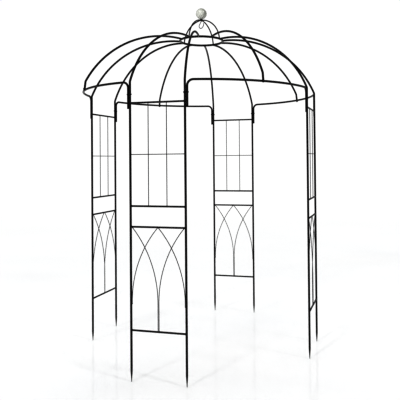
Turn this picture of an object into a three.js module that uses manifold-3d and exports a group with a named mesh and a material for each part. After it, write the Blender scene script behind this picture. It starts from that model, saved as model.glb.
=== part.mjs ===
// Round garden trellis pavilion of powder-coated steel tube, for climbing roses.
// Four trellis panels stand on ground spikes around a circle. Four arches join them over
// open doorways, twelve bent ribs rise to a crown ring, and a wire crown carries a glass
// ball and a hanging hook. Millimetres, +Z up, origin on the ground at the middle.
import * as THREE from 'three';
import { mergeVertices } from 'three/addons/utils/BufferGeometryUtils.js';
import Module from 'manifold-3d';

const wasm = await Module();
wasm.setup();

// ---- Driving dimensions -------------------------------------------------------------

const FRAME_RADIUS = 1000; // axis to the post centres
const PANEL_WIDTH = 430; // between the post centres of one panel
const TUBE_RADIUS = 8; // posts, arches and ribs
const BAR_RADIUS = 6.5; // cross bars of the panels
const ROD_RADIUS = 2.5; // thin trellis rods
const GAP = 0.3; // clearance between separate pieces

// Heights above the spike tips
const SPIKE_TIP_RADIUS = 2;
const SPIKE_LENGTH = 80;
const FOOT_BAR_HEIGHT = 374;
const TRACERY_BAR_HEIGHT = 1126;
const POST_JOINT_HEIGHT = 1200;
const GRILLE_FOOT_HEIGHT = 1277;
const GRILLE_MIDDLE_HEIGHT = 1654;
const GRILLE_TOP_HEIGHT = 2032;
const ARCH_LEG_HEIGHT = 1990; // lower ends of the arch legs
const ARCH_BOLT_HEIGHT = 2096;
const RIB_JOINT_HEIGHT = 2150; // where the ribs plug into the posts
const ARCH_HEIGHT = 2187;
const POST_RIB_KINK_HEIGHT = 2190;
const MID_RIB_KINK_HEIGHT = 2248;
const RING_HEIGHT = 2675;

// Plug joints between tubes
const SPIGOT_RADIUS = 5;
const SOCKET_RADIUS = 5.8;
const POST_SPIGOT_LENGTH = 50;
const RIB_SPIGOT_LENGTH = 40;
const SOCKET_SPARE_DEPTH = 2;

// Tracery of pointed arches in the lower panels
const TRACERY_SPRING_HEIGHT = 582; // where the curved rods turn straight
const TRACERY_LAYER = 2.3; // rods cross in two layers, this far from the panel's plane

// Arches over the doorways
const ARCH_MIDDLE_RADIUS = 1021.5; // axis to the tube centre, half way along
const ARCH_CORNER_RADIUS = 45;

// Ribs of the dome
const MID_RIB_FOOT_RADIUS = 1040;
const MID_RIB_FOOT_DROP = 12; // end of the rib below the arch tube's centre
const MID_RIB_KINK_RADIUS = 1031;
const POST_RIB_END_TILT = 5; // degrees below level where a rib meets the ring
const MID_RIB_END_TILT = 7.8;

// Crown ring, crown and finial
const RING_RADIUS = 190;
const RING_TUBE_RADIUS = 9;
const RING_PEG_LENGTH = 28;
const CROWN_LEG_RADIUS = 5;
const CROWN_LEG_TURN = 30; // degrees round from a doorway's middle
const CROWN_LEG_BEND_RADIUS = 204;
const HUB_RADIUS = 13;
const HUB_FOOT_HEIGHT = 2860;
const HUB_TOP_HEIGHT = 2868;
const BALL_RADIUS = 48;
const BALL_HEIGHT = 2920.5;
const COLLAR_RADIUS = 11;
const COLLAR_TOP_RADIUS = 8.6;
const COLLAR_TOP_HEIGHT = 2873;
const COLLAR_SPIGOT_RADIUS = 5.5;
const COLLAR_SPIGOT_LENGTH = 11;

// Hook under the crown
const HOOK_WIRE_RADIUS = 3;
const HOOK_SHANK_RADIUS = 3.5;
const HOOK_HEAD_RADIUS = 6.5;
const HOOK_HEAD_HEIGHT = 2;
const HOOK_TURN = -25; // degrees about the vertical, as it hangs

// M6 bolts and nuts
const BOLT_RADIUS = 3;
const BOLT_HOLE_RADIUS = 3.6;
const BOLT_HEAD_RADIUS = 5.5;
const BOLT_HEAD_HEIGHT = 2.6;
const NUT_RADIUS = 5.8; // across the corners, halved
const NUT_HEIGHT = 3.2;
const BOLT_TAIL = 0.5; // shank past the nut

// Facets
const TUBE_SIDES = 8;
const ROD_SIDES = 6;
const PIN_SIDES = 8;

// ---- Materials ----------------------------------------------------------------------

const blackPowderCoat = new THREE.MeshStandardMaterial({
  name: 'black_powder_coat',
  color: 0x17181a,
  roughness: 0.42,
  metalness: 0.25,
});
const blackenedSteel = new THREE.MeshStandardMaterial({
  name: 'blackened_steel',
  color: 0x1e1f21,
  roughness: 0.5,
  metalness: 0.6,
});
const zinc = new THREE.MeshStandardMaterial({
  name: 'zinc',
  color: 0x9a9c9c,
  roughness: 0.38,
  metalness: 0.9,
});
const frostedGlass = new THREE.MeshStandardMaterial({
  name: 'frosted_glass',
  color: 0xced2ca,
  roughness: 0.3,
  metalness: 0,
});

// ---- Derived places -----------------------------------------------------------------

const degrees = THREE.MathUtils.degToRad;
const panelHalf = PANEL_WIDTH / 2;
const panelOffset = Math.sqrt(FRAME_RADIUS ** 2 - panelHalf ** 2);
const postTurn = Math.asin(panelHalf / FRAME_RADIUS); // post, round from its panel's middle
const tubeSpacing = 2 * TUBE_RADIUS + GAP;
const legTurn = degrees(45) - postTurn - tubeSpacing / FRAME_RADIUS; // from the doorway's middle
const legX = FRAME_RADIUS * Math.sin(legTurn);
const legY = FRAME_RADIUS * Math.cos(legTurn);
const midRibSlope =
  (MID_RIB_KINK_RADIUS - MID_RIB_FOOT_RADIUS) /
  (MID_RIB_KINK_HEIGHT - ARCH_HEIGHT + MID_RIB_FOOT_DROP);
const midRibBoltRadius = MID_RIB_FOOT_RADIUS + midRibSlope * MID_RIB_FOOT_DROP;

// ---- Solids from geometry -----------------------------------------------------------

/** Closed geometry to a solid, turned inside out first if its faces point in. */
function toSolid(geometry) {
  geometry.deleteAttribute('normal');
  geometry.deleteAttribute('uv');
  const merged = mergeVertices(geometry, 1e-3);
  const vertProperties = new Float32Array(merged.attributes.position.array);
  const triVerts = new Uint32Array(merged.index.array);
  if (signedVolume(vertProperties, triVerts) < 0) {
    for (let i = 0; i < triVerts.length; i += 3) {
      [triVerts[i + 1], triVerts[i + 2]] = [triVerts[i + 2], triVerts[i + 1]];
    }
  }
  return new wasm.Manifold(new wasm.Mesh({ numProp: 3, vertProperties, triVerts }));
}

function signedVolume(positions, triangles) {
  const corner = (i) => new THREE.Vector3().fromArray(positions, 3 * triangles[i]);
  let volume = 0;
  for (let i = 0; i < triangles.length; i += 3) {
    volume += corner(i).dot(corner(i + 1).cross(corner(i + 2))) / 6;
  }
  return volume;
}

/** Named mesh of a solid. */
function piece(name, solid, material) {
  const { vertProperties, triVerts } = solid.getMesh();
  const geometry = new THREE.BufferGeometry();
  geometry.setAttribute('position', new THREE.BufferAttribute(vertProperties, 3));
  geometry.setIndex(new THREE.BufferAttribute(triVerts, 1));
  geometry.computeVertexNormals();
  const mesh = new THREE.Mesh(geometry, material);
  mesh.name = name;
  return mesh;
}

function joined(solids) {
  return solids.reduce((whole, next) => whole.add(next));
}

/** Path that passes through every station, with one extrusion step between neighbours. */
class StationPath extends THREE.Curve {
  constructor(stations) {
    super();
    this.stations = stations;
  }

  index(u) {
    return Math.round(u * (this.stations.length - 1));
  }

  getPointAt(u, target = new THREE.Vector3()) {
    return target.copy(this.stations[this.index(u)]);
  }

  getTangentAt(u, target = new THREE.Vector3()) {
    const i = this.index(u);
    const last = this.stations.length - 1;
    const before = this.stations[Math.max(i - 1, 0)];
    const after = this.stations[Math.min(i + 1, last)];
    const here = this.stations[i];
    target.set(0, 0, 0);
    if (i > 0) {
      target.add(new THREE.Vector3().subVectors(here, before).normalize());
    }
    if (i < last) {
      target.add(new THREE.Vector3().subVectors(after, here).normalize());
    }
    return target.normalize();
  }
}

function circlePoints(radius, sides, centreX = 0) {
  const points = [];
  for (let i = 0; i < sides; i++) {
    const angle = (2 * Math.PI * i) / sides;
    points.push(new THREE.Vector2(centreX + radius * Math.cos(angle), radius * Math.sin(angle)));
  }
  return points;
}

/** Round bar bent along a list of stations. */
function bentBar(stations, radius, sides = TUBE_SIDES) {
  return toSolid(
    new THREE.ExtrudeGeometry(new THREE.Shape(circlePoints(radius, sides)), {
      steps: stations.length - 1,
      bevelEnabled: false,
      extrudePath: new StationPath(stations),
    }),
  );
}

/** Straight round bar between two points. */
function straightBar(from, to, radius, sides = TUBE_SIDES) {
  const along = new THREE.Vector3().subVectors(to, from);
  const geometry = new THREE.CylinderGeometry(radius, radius, along.length(), sides);
  const middle = new THREE.Vector3().addVectors(from, to).multiplyScalar(0.5);
  const turn = new THREE.Quaternion().setFromUnitVectors(
    new THREE.Vector3(0, 1, 0),
    along.clone().normalize(),
  );
  geometry.applyQuaternion(turn);
  geometry.translate(middle.x, middle.y, middle.z);
  return toSolid(geometry);
}

/** Solid of revolution about a vertical line through (x, y); the profile is [radius, height]. */
function turned(profile, sides, x = 0, y = 0) {
  const points = profile.map(([radius, height]) => new THREE.Vector2(radius, height));
  const geometry = new THREE.LatheGeometry(points, sides);
  geometry.rotateX(Math.PI / 2);
  geometry.translate(x, y, 0);
  return toSolid(geometry);
}

const at = (x, y, z) => new THREE.Vector3(x, y, z);

// ---- Trellis panels: built facing -Y, in the plane y = -panelOffset ------------------

function lowerPanel() {
  const spigotTop = POST_JOINT_HEIGHT + POST_SPIGOT_LENGTH;
  const profile = [
    [0, 0],
    [SPIKE_TIP_RADIUS, 0],
    [TUBE_RADIUS, SPIKE_LENGTH],
    [TUBE_RADIUS, POST_JOINT_HEIGHT],
    [SPIGOT_RADIUS, POST_JOINT_HEIGHT],
    [SPIGOT_RADIUS, spigotTop],
    [0, spigotTop],
  ];
  const bar = (height) =>
    straightBar(at(-panelHalf, -panelOffset, height), at(panelHalf, -panelOffset, height), BAR_RADIUS);
  return joined([
    turned(profile, TUBE_SIDES, -panelHalf, -panelOffset),
    turned(profile, TUBE_SIDES, panelHalf, -panelOffset),
    bar(FOOT_BAR_HEIGHT),
    bar(TRACERY_BAR_HEIGHT),
    ...traceryRods(),
  ]);
}

/**
 * Four curved rods make interlaced pointed arches. Each starts on the tracery bar, at its
 * middle or at a corner, and bends until it runs straight down, beside a post or as one of
 * the pair at the panel's middle line.
 */
function traceryRods() {
  const steps = 9;
  const besidePost = panelHalf - TUBE_RADIUS;
  const besideMiddle = ROD_RADIUS + 0.2;
  const rise = TRACERY_BAR_HEIGHT - TRACERY_SPRING_HEIGHT;
  const rod = (side, straightX, topX, foot) => {
    const run = Math.abs(topX - straightX);
    const bendRadius = (run ** 2 + rise ** 2) / (2 * run);
    const sweep = Math.asin(rise / bendRadius);
    const towards = Math.sign(topX - straightX);
    const y = -panelOffset + side * towards * TRACERY_LAYER;
    const stations = [at(side * straightX, y, foot)];
    for (let i = 0; i <= steps; i++) {
      const angle = (sweep * i) / steps;
      const x = straightX + towards * bendRadius * (1 - Math.cos(angle));
      stations.push(at(side * x, y, TRACERY_SPRING_HEIGHT + bendRadius * Math.sin(angle)));
    }
    return bentBar(stations, ROD_RADIUS, ROD_SIDES);
  };
  const straightBesidePost = 20;
  return [-1, 1].flatMap((side) => [
    rod(side, besidePost, 0, TRACERY_SPRING_HEIGHT - straightBesidePost),
    rod(side, besideMiddle, besidePost - ROD_RADIUS, FOOT_BAR_HEIGHT),
  ]);
}

function upperPanel() {
  const foot = POST_JOINT_HEIGHT + GAP;
  const footSocket = POST_JOINT_HEIGHT + POST_SPIGOT_LENGTH + SOCKET_SPARE_DEPTH;
  const topSocket = RIB_JOINT_HEIGHT - RIB_SPIGOT_LENGTH - SOCKET_SPARE_DEPTH;
  const profile = [
    [0, footSocket],
    [SOCKET_RADIUS, footSocket],
    [SOCKET_RADIUS, foot],
    [TUBE_RADIUS, foot],
    [TUBE_RADIUS, RIB_JOINT_HEIGHT],
    [SOCKET_RADIUS, RIB_JOINT_HEIGHT],
    [SOCKET_RADIUS, topSocket],
    [0, topSocket],
  ];
  const bar = (height, radius, y, sides) =>
    straightBar(at(-panelHalf, y, height), at(panelHalf, y, height), radius, sides);
  const behind = -panelOffset + 2 * ROD_RADIUS - 0.4;
  const solids = [
    turned(profile, TUBE_SIDES, -panelHalf, -panelOffset),
    turned(profile, TUBE_SIDES, panelHalf, -panelOffset),
    bar(GRILLE_FOOT_HEIGHT, BAR_RADIUS, -panelOffset),
    bar(GRILLE_TOP_HEIGHT, BAR_RADIUS, -panelOffset),
    bar(GRILLE_MIDDLE_HEIGHT, ROD_RADIUS, behind, ROD_SIDES),
  ];
  for (const side of [-1, 1]) {
    const x = (side * PANEL_WIDTH) / 6;
    const foot = at(x, -panelOffset, GRILLE_FOOT_HEIGHT);
    const top = at(x, -panelOffset, GRILLE_TOP_HEIGHT);
    solids.push(straightBar(foot, top, ROD_RADIUS, ROD_SIDES));
  }
  let panel = joined(solids);
  for (const side of [-1, 1]) {
    // A panel's left post stands on the right of a doorway, an eighth of a circle round.
    panel = panel.subtract(archBoltHole(-side).rotate([0, 0, side * 45]));
  }
  return panel;
}

// ---- Arches over the doorways: built facing -Y ---------------------------------------

/**
 * The arch tube lies on an upright cylinder whose plan passes through both legs and the
 * arch's middle point, so a level run, its corners and its legs are laid out unrolled.
 */
function archStations() {
  const sagitta = ARCH_MIDDLE_RADIUS - legY;
  const planRadius = (legX ** 2 + sagitta ** 2) / (2 * sagitta);
  const planCentreY = -(ARCH_MIDDLE_RADIUS - planRadius);
  const halfRun = planRadius * Math.asin(legX / planRadius);
  const onPlan = (run, height) =>
    at(
      planRadius * Math.sin(run / planRadius),
      planCentreY - planRadius * Math.cos(run / planRadius),
      height,
    );
  const cornerSteps = 4;
  const levelSteps = 12;
  const half = [];
  for (let i = 1; i <= levelSteps / 2; i++) {
    half.push([((halfRun - ARCH_CORNER_RADIUS) * 2 * i) / levelSteps, ARCH_HEIGHT]);
  }
  for (let i = 1; i <= cornerSteps; i++) {
    const angle = (Math.PI / 2) * (i / cornerSteps);
    half.push([
      halfRun - ARCH_CORNER_RADIUS * (1 - Math.sin(angle)),
      ARCH_HEIGHT - ARCH_CORNER_RADIUS * (1 - Math.cos(angle)),
    ]);
  }
  half.push([halfRun, ARCH_LEG_HEIGHT]);
  const left = half.toReversed().map(([run, height]) => onPlan(-run, height));
  const right = half.map(([run, height]) => onPlan(run, height));
  return [...left, onPlan(0, ARCH_HEIGHT), ...right];
}

function arch() {
  let tube = bentBar(archStations(), TUBE_RADIUS);
  for (const side of [-1, 1]) {
    tube = tube.subtract(archBoltHole(side));
  }
  const inside = at(0, -ARCH_MIDDLE_RADIUS + 2 * TUBE_RADIUS, ARCH_HEIGHT);
  const outside = at(0, -ARCH_MIDDLE_RADIUS - 2 * TUBE_RADIUS, ARCH_HEIGHT);
  return tube.subtract(straightBar(inside, outside, BOLT_HOLE_RADIUS, PIN_SIDES));
}

/** Direction from an arch leg to the post beside it, for a doorway that faces -Y. */
function legToPost(side) {
  const turn = legTurn + tubeSpacing / FRAME_RADIUS / 2;
  return at(side * Math.cos(turn), Math.sin(turn), 0);
}

/** Drill for the bolt that joins an arch leg to the post on that side of the doorway. */
function archBoltHole(side) {
  const leg = at(side * legX, -legY, ARCH_BOLT_HEIGHT);
  const along = legToPost(side);
  const from = leg.clone().addScaledVector(along, -2 * TUBE_RADIUS);
  const to = leg.clone().addScaledVector(along, tubeSpacing + 2 * TUBE_RADIUS);
  return straightBar(from, to, BOLT_HOLE_RADIUS, PIN_SIDES);
}

// ---- Ribs of the dome: built in the plane x = 0, towards -Y --------------------------

/**
 * Ribs bend once to a kink, then follow one arc to the ring. The arc ends beside the ring
 * with the given tilt, which with the kink fixes its radius.
 */
function ribStations(start, kink, endTilt) {
  const steps = 10;
  const tilt = degrees(endTilt);
  const reach = RING_TUBE_RADIUS + 2 * GAP;
  const endRadius = RING_RADIUS + reach * Math.cos(tilt);
  const endHeight = RING_HEIGHT + reach * Math.sin(tilt);
  const towardsCentre = new THREE.Vector2(Math.sin(tilt), -Math.cos(tilt));
  const end = new THREE.Vector2(endRadius, endHeight);
  const chord = new THREE.Vector2().subVectors(kink, end);
  const bendRadius = chord.lengthSq() / (2 * chord.dot(towardsCentre));
  const centre = end.clone().addScaledVector(towardsCentre, bendRadius);
  const kinkAngle = new THREE.Vector2().subVectors(kink, centre).angle();
  const endAngle = new THREE.Vector2().subVectors(end, centre).angle();
  const stations = [start];
  for (let i = 0; i <= steps; i++) {
    const angle = THREE.MathUtils.lerp(kinkAngle, endAngle, i / steps);
    stations.push(
      new THREE.Vector2(
        centre.x + bendRadius * Math.cos(angle),
        centre.y + bendRadius * Math.sin(angle),
      ),
    );
  }
  return stations.map((point) => at(0, -point.x, point.y));
}

/** Peg on the ring, or with a larger radius and length the socket for it in a rib. */
function ringPeg(endTilt, radius, length) {
  const tilt = degrees(endTilt);
  const direction = at(0, -Math.cos(tilt), Math.sin(tilt));
  const from = at(0, -RING_RADIUS, RING_HEIGHT);
  return straightBar(from, from.clone().addScaledVector(direction, length), radius, PIN_SIDES);
}

function ringSocket(endTilt) {
  const depth = RING_TUBE_RADIUS + RING_PEG_LENGTH + SOCKET_SPARE_DEPTH;
  return ringPeg(endTilt, SOCKET_RADIUS, depth);
}

function postRib() {
  const foot = RIB_JOINT_HEIGHT + GAP;
  const stations = ribStations(
    new THREE.Vector2(FRAME_RADIUS, foot),
    new THREE.Vector2(FRAME_RADIUS, POST_RIB_KINK_HEIGHT),
    POST_RIB_END_TILT,
  );
  const spigot = straightBar(
    at(0, -FRAME_RADIUS, foot - RIB_SPIGOT_LENGTH),
    at(0, -FRAME_RADIUS, foot + TUBE_RADIUS),
    SPIGOT_RADIUS,
    PIN_SIDES,
  );
  return bentBar(stations, TUBE_RADIUS).add(spigot).subtract(ringSocket(POST_RIB_END_TILT));
}

function midRib() {
  const stations = ribStations(
    new THREE.Vector2(MID_RIB_FOOT_RADIUS, ARCH_HEIGHT - MID_RIB_FOOT_DROP),
    new THREE.Vector2(MID_RIB_KINK_RADIUS, MID_RIB_KINK_HEIGHT),
    MID_RIB_END_TILT,
  );
  const boltHole = straightBar(
    at(0, -midRibBoltRadius - 2 * TUBE_RADIUS, ARCH_HEIGHT),
    at(0, -midRibBoltRadius + 2 * TUBE_RADIUS, ARCH_HEIGHT),
    BOLT_HOLE_RADIUS,
    PIN_SIDES,
  );
  return bentBar(stations, TUBE_RADIUS).subtract(boltHole).subtract(ringSocket(MID_RIB_END_TILT));
}

// ---- Crown ring, crown, finial and hook ----------------------------------------------

/** Turns of the twelve ribs from the front doorway, each with the tilt of its end. */
function ribPlaces() {
  const places = [];
  for (let quarter = 0; quarter < 4; quarter++) {
    const doorway = quarter * 90;
    places.push({ turn: degrees(doorway), tilt: MID_RIB_END_TILT });
    for (const side of [-1, 1]) {
      places.push({ turn: degrees(doorway + 45) + side * postTurn, tilt: POST_RIB_END_TILT });
    }
  }
  return places;
}

function crownLeg(quarter, radius) {
  const steps = 8;
  const foot = new THREE.Vector2(RING_RADIUS, RING_HEIGHT + CROWN_LEG_RADIUS);
  const top = new THREE.Vector2(HUB_RADIUS / 2, HUB_TOP_HEIGHT - CROWN_LEG_RADIUS - GAP);
  const chord = new THREE.Vector2().subVectors(top, foot);
  const depth = Math.sqrt(CROWN_LEG_BEND_RADIUS ** 2 - chord.lengthSq() / 4);
  const inward = new THREE.Vector2(chord.y, -chord.x).normalize().negate();
  const centre = new THREE.Vector2().addVectors(foot, top).multiplyScalar(0.5);
  centre.addScaledVector(inward, depth);
  const footAngle = new THREE.Vector2().subVectors(foot, centre).angle();
  const topAngle = new THREE.Vector2().subVectors(top, centre).angle();
  const stations = [];
  for (let i = 0; i <= steps; i++) {
    const angle = THREE.MathUtils.lerp(footAngle, topAngle, i / steps);
    const station = at(
      0,
      -centre.x - CROWN_LEG_BEND_RADIUS * Math.cos(angle),
      centre.y + CROWN_LEG_BEND_RADIUS * Math.sin(angle),
    );
    stations.push(station.applyAxisAngle(at(0, 0, 1), degrees(CROWN_LEG_TURN + 90 * quarter)));
  }
  return bentBar(stations, radius, ROD_SIDES);
}

function crownRing() {
  const ringSides = 10;
  const ringSegments = 36;
  const profile = circlePoints(RING_TUBE_RADIUS, ringSides, RING_RADIUS);
  const section = [...profile, profile[0]].map((point) => [point.x, RING_HEIGHT + point.y]);
  let ring = turned(section, ringSegments);
  for (const { turn, tilt } of ribPlaces()) {
    const peg = ringPeg(tilt, SPIGOT_RADIUS, RING_TUBE_RADIUS + RING_PEG_LENGTH);
    ring = ring.add(peg.rotate([0, 0, THREE.MathUtils.radToDeg(turn)]));
  }
  for (let quarter = 0; quarter < 4; quarter++) {
    ring = ring.subtract(crownLeg(quarter, CROWN_LEG_RADIUS + 2 * GAP));
    const bottom = at(0, -RING_RADIUS, RING_HEIGHT + CROWN_LEG_RADIUS);
    const seat = straightBar(
      bottom.clone().setZ(RING_HEIGHT + CROWN_LEG_RADIUS - 2 * GAP),
      bottom.clone().setZ(RING_HEIGHT + 2 * RING_TUBE_RADIUS),
      CROWN_LEG_RADIUS + 1.5,
      PIN_SIDES,
    );
    ring = ring.subtract(seat.rotate([0, 0, CROWN_LEG_TURN + 90 * quarter]));
  }
  return ring;
}

function crown() {
  const hub = turned(
    [
      [0, HUB_FOOT_HEIGHT],
      [HUB_RADIUS, HUB_FOOT_HEIGHT],
      [HUB_RADIUS, HUB_TOP_HEIGHT],
      [0, HUB_TOP_HEIGHT],
    ],
    12,
  );
  const legs = [0, 1, 2, 3].map((quarter) => crownLeg(quarter, CROWN_LEG_RADIUS));
  const bore = straightBar(
    at(0, 0, HUB_FOOT_HEIGHT - TUBE_RADIUS),
    at(0, 0, HUB_TOP_HEIGHT + TUBE_RADIUS),
    HOOK_SHANK_RADIUS + 2 * GAP,
    PIN_SIDES,
  );
  return joined([hub, ...legs]).subtract(bore);
}

/** Cup over the hook's head, with a spigot that holds the ball. */
function finialCollar() {
  const foot = HUB_TOP_HEIGHT + GAP;
  const cupTop = HUB_TOP_HEIGHT + HOOK_HEAD_HEIGHT + 4 * GAP;
  const cupRadius = HOOK_HEAD_RADIUS + 1.2;
  const spigotTop = COLLAR_TOP_HEIGHT + COLLAR_SPIGOT_LENGTH;
  return turned(
    [
      [0, cupTop],
      [cupRadius, cupTop],
      [cupRadius, foot],
      [COLLAR_RADIUS, foot],
      [COLLAR_RADIUS, foot + 3],
      [COLLAR_TOP_RADIUS, COLLAR_TOP_HEIGHT],
      [COLLAR_SPIGOT_RADIUS, COLLAR_TOP_HEIGHT],
      [COLLAR_SPIGOT_RADIUS, spigotTop],
      [0, spigotTop],
    ],
    12,
  );
}

function finialBall() {
  const slices = 12;
  const socketRadius = COLLAR_SPIGOT_RADIUS + 0.8;
  const socketTop = COLLAR_TOP_HEIGHT + COLLAR_SPIGOT_LENGTH + 1;
  const flatHeight = COLLAR_TOP_HEIGHT + GAP;
  const flatAngle = Math.acos((flatHeight - BALL_HEIGHT) / BALL_RADIUS);
  const profile = [
    [0, socketTop],
    [socketRadius, socketTop],
    [socketRadius, flatHeight],
  ];
  for (let i = 0; i < slices; i++) {
    const angle = flatAngle * (1 - i / slices);
    profile.push([BALL_RADIUS * Math.sin(angle), BALL_HEIGHT + BALL_RADIUS * Math.cos(angle)]);
  }
  profile.push([0, BALL_HEIGHT + BALL_RADIUS]);
  return turned(profile, 20);
}

function hook() {
  const bend = new THREE.CatmullRomCurve3([
    at(0, 0, HUB_FOOT_HEIGHT - 3),
    at(-3, 0, HUB_FOOT_HEIGHT - 11),
    at(-11, 0, HUB_FOOT_HEIGHT - 27),
    at(-19.5, 0, HUB_FOOT_HEIGHT - 45),
    at(-19, 0, HUB_FOOT_HEIGHT - 61),
    at(-7.5, 0, HUB_FOOT_HEIGHT - 72),
    at(6, 0, HUB_FOOT_HEIGHT - 65),
    at(16, 0, HUB_FOOT_HEIGHT - 49),
    at(19.5, 0, HUB_FOOT_HEIGHT - 35),
    at(18, 0, HUB_FOOT_HEIGHT - 22),
  ]);
  const headFoot = HUB_TOP_HEIGHT + GAP;
  const shankFoot = HUB_FOOT_HEIGHT - 8;
  const shank = turned(
    [
      [0, shankFoot],
      [HOOK_SHANK_RADIUS, shankFoot],
      [HOOK_SHANK_RADIUS, headFoot],
      [HOOK_HEAD_RADIUS, headFoot],
      [HOOK_HEAD_RADIUS, headFoot + HOOK_HEAD_HEIGHT],
      [0, headFoot + HOOK_HEAD_HEIGHT],
    ],
    PIN_SIDES,
  );
  return bentBar(bend.getSpacedPoints(22), HOOK_WIRE_RADIUS, PIN_SIDES).add(shank);
}

// ---- Bolts and nuts: axis along +X, from the head towards the nut --------------------

/** Domed head under x = 0, shank reaching past the nut by a little. */
function bolt(span) {
  const tail = span + NUT_HEIGHT + BOLT_TAIL;
  const solid = turned(
    [
      [0, -BOLT_HEAD_HEIGHT],
      [BOLT_HEAD_RADIUS * 0.6, -BOLT_HEAD_HEIGHT],
      [BOLT_HEAD_RADIUS, -BOLT_HEAD_HEIGHT * 0.45],
      [BOLT_HEAD_RADIUS, 0],
      [BOLT_RADIUS, 0],
      [BOLT_RADIUS, tail],
      [0, tail],
    ],
    PIN_SIDES,
  );
  return solid.rotate([0, 90, 0]);
}

function nut() {
  const outline = new THREE.Shape(circlePoints(NUT_RADIUS, 6));
  const hole = circlePoints(BOLT_RADIUS + 0.4, PIN_SIDES);
  outline.holes.push(new THREE.Path(hole));
  const geometry = new THREE.ExtrudeGeometry(outline, { depth: NUT_HEIGHT, bevelEnabled: false });
  return toSolid(geometry).rotate([0, 90, 0]);
}

/**
 * Bolt and nut through two tubes whose centres are `spacing` apart, the first at `place`.
 * The head stands `headLift` further out where the first tube leans.
 */
function boltAndNut(name, place, direction, spacing, headLift = 0) {
  const seat = TUBE_RADIUS + GAP;
  const span = spacing + 2 * seat + headLift;
  const group = new THREE.Group();
  group.position.copy(place).addScaledVector(direction, -seat - headLift);
  group.rotation.z = Math.atan2(direction.y, direction.x);
  const nutMesh = piece(`${name}_nut`, nut(), blackenedSteel);
  nutMesh.position.x = span;
  group.add(piece(`${name}_bolt`, bolt(span), blackenedSteel), nutMesh);
  return group;
}

// ---- Assembly -----------------------------------------------------------------------

/** Each quarter is a doorway and the panel after it, going round anticlockwise from above. */
const quarters = [
  { doorway: 'front', panel: 'front_right' },
  { doorway: 'right', panel: 'back_right' },
  { doorway: 'back', panel: 'back_left' },
  { doorway: 'left', panel: 'front_left' },
];

function quarterGroup({ doorway, panel }) {
  const group = new THREE.Group();
  group.add(piece(`arch_${doorway}`, arch(), blackPowderCoat));
  group.add(piece(`mid_rib_${doorway}`, midRib(), blackPowderCoat));
  const ribBoltPlace = at(0, -midRibBoltRadius, ARCH_HEIGHT);
  const ribBoltSpan = midRibBoltRadius - ARCH_MIDDLE_RADIUS;
  const headLift = -midRibSlope * BOLT_HEAD_RADIUS;
  group.add(boltAndNut(`mid_rib_${doorway}`, ribBoltPlace, at(0, 1, 0), ribBoltSpan, headLift));
  for (const [side, hand] of [[-1, 'left'], [1, 'right']]) {
    const leg = at(side * legX, -legY, ARCH_BOLT_HEIGHT);
    group.add(boltAndNut(`arch_${doorway}_${hand}`, leg, legToPost(side), tubeSpacing));
  }

  const panelGroup = new THREE.Group();
  panelGroup.rotation.z = degrees(45);
  panelGroup.add(piece(`lower_panel_${panel}`, lowerPanel(), blackPowderCoat));
  panelGroup.add(piece(`upper_panel_${panel}`, upperPanel(), blackPowderCoat));
  for (const [side, hand] of [[-1, 'left'], [1, 'right']]) {
    const rib = piece(`post_rib_${panel}_${hand}`, postRib(), blackPowderCoat);
    rib.rotation.z = side * postTurn;
    panelGroup.add(rib);
  }
  group.add(panelGroup);
  return group;
}

function pavilion() {
  const group = new THREE.Group();
  group.name = 'trellis_pavilion';
  quarters.forEach((names, index) => {
    const quarter = quarterGroup(names);
    quarter.rotation.z = degrees(90 * index);
    group.add(quarter);
  });
  group.add(piece('crown_ring', crownRing(), blackPowderCoat));
  group.add(piece('crown', crown(), blackPowderCoat));
  group.add(piece('finial_collar', finialCollar(), blackPowderCoat));
  group.add(piece('finial_ball', finialBall(), frostedGlass));
  const hangingHook = piece('hook', hook(), zinc);
  hangingHook.rotation.z = degrees(HOOK_TURN);
  group.add(hangingHook);
  return group;
}

export default pavilion();
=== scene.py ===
"""Looks of the garden trellis pavilion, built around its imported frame. Metres, +Z up."""
import math
import random

import bmesh
import bpy
from mathutils import Matrix, Vector, noise


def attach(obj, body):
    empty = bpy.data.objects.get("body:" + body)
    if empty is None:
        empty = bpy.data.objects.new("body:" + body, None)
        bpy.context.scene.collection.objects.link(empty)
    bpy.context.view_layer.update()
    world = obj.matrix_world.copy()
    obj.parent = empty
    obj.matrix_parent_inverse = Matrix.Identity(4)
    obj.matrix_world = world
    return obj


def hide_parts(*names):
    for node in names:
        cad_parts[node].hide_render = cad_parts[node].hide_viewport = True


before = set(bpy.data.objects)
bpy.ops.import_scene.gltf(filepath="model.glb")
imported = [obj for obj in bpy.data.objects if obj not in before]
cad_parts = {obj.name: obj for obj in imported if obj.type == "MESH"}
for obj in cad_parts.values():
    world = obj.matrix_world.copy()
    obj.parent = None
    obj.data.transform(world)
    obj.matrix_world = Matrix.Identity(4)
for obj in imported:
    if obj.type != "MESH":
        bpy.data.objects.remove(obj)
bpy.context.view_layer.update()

# ---- Driving dimensions -----------------------------------------------------------------

MM = 0.001
FRAME_RADIUS = 1.0  # axis to the post centres
PANEL_WIDTH = 0.43  # between the post centres of one panel
TUBE_RADIUS = 8 * MM
TUBE_WALL = 1.2 * MM
BAR_RADIUS = 6.5 * MM
ROD_RADIUS = 2.5 * MM
GAP = 0.3 * MM

# Heights above the spike tips
SPIKE_TIP_RADIUS = 2 * MM
SPIKE_LENGTH = 80 * MM
FOOT_BAR_HEIGHT = 0.374
TRACERY_BAR_HEIGHT = 1.126
POST_JOINT_HEIGHT = 1.2
GRILLE_FOOT_HEIGHT = 1.277
GRILLE_MIDDLE_HEIGHT = 1.654
GRILLE_TOP_HEIGHT = 2.032
ARCH_LEG_HEIGHT = 1.99
ARCH_BOLT_HEIGHT = 2.096
RIB_JOINT_HEIGHT = 2.15
ARCH_HEIGHT = 2.187
POST_RIB_KINK_HEIGHT = 2.19
MID_RIB_KINK_HEIGHT = 2.248
RING_HEIGHT = 2.675

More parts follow.
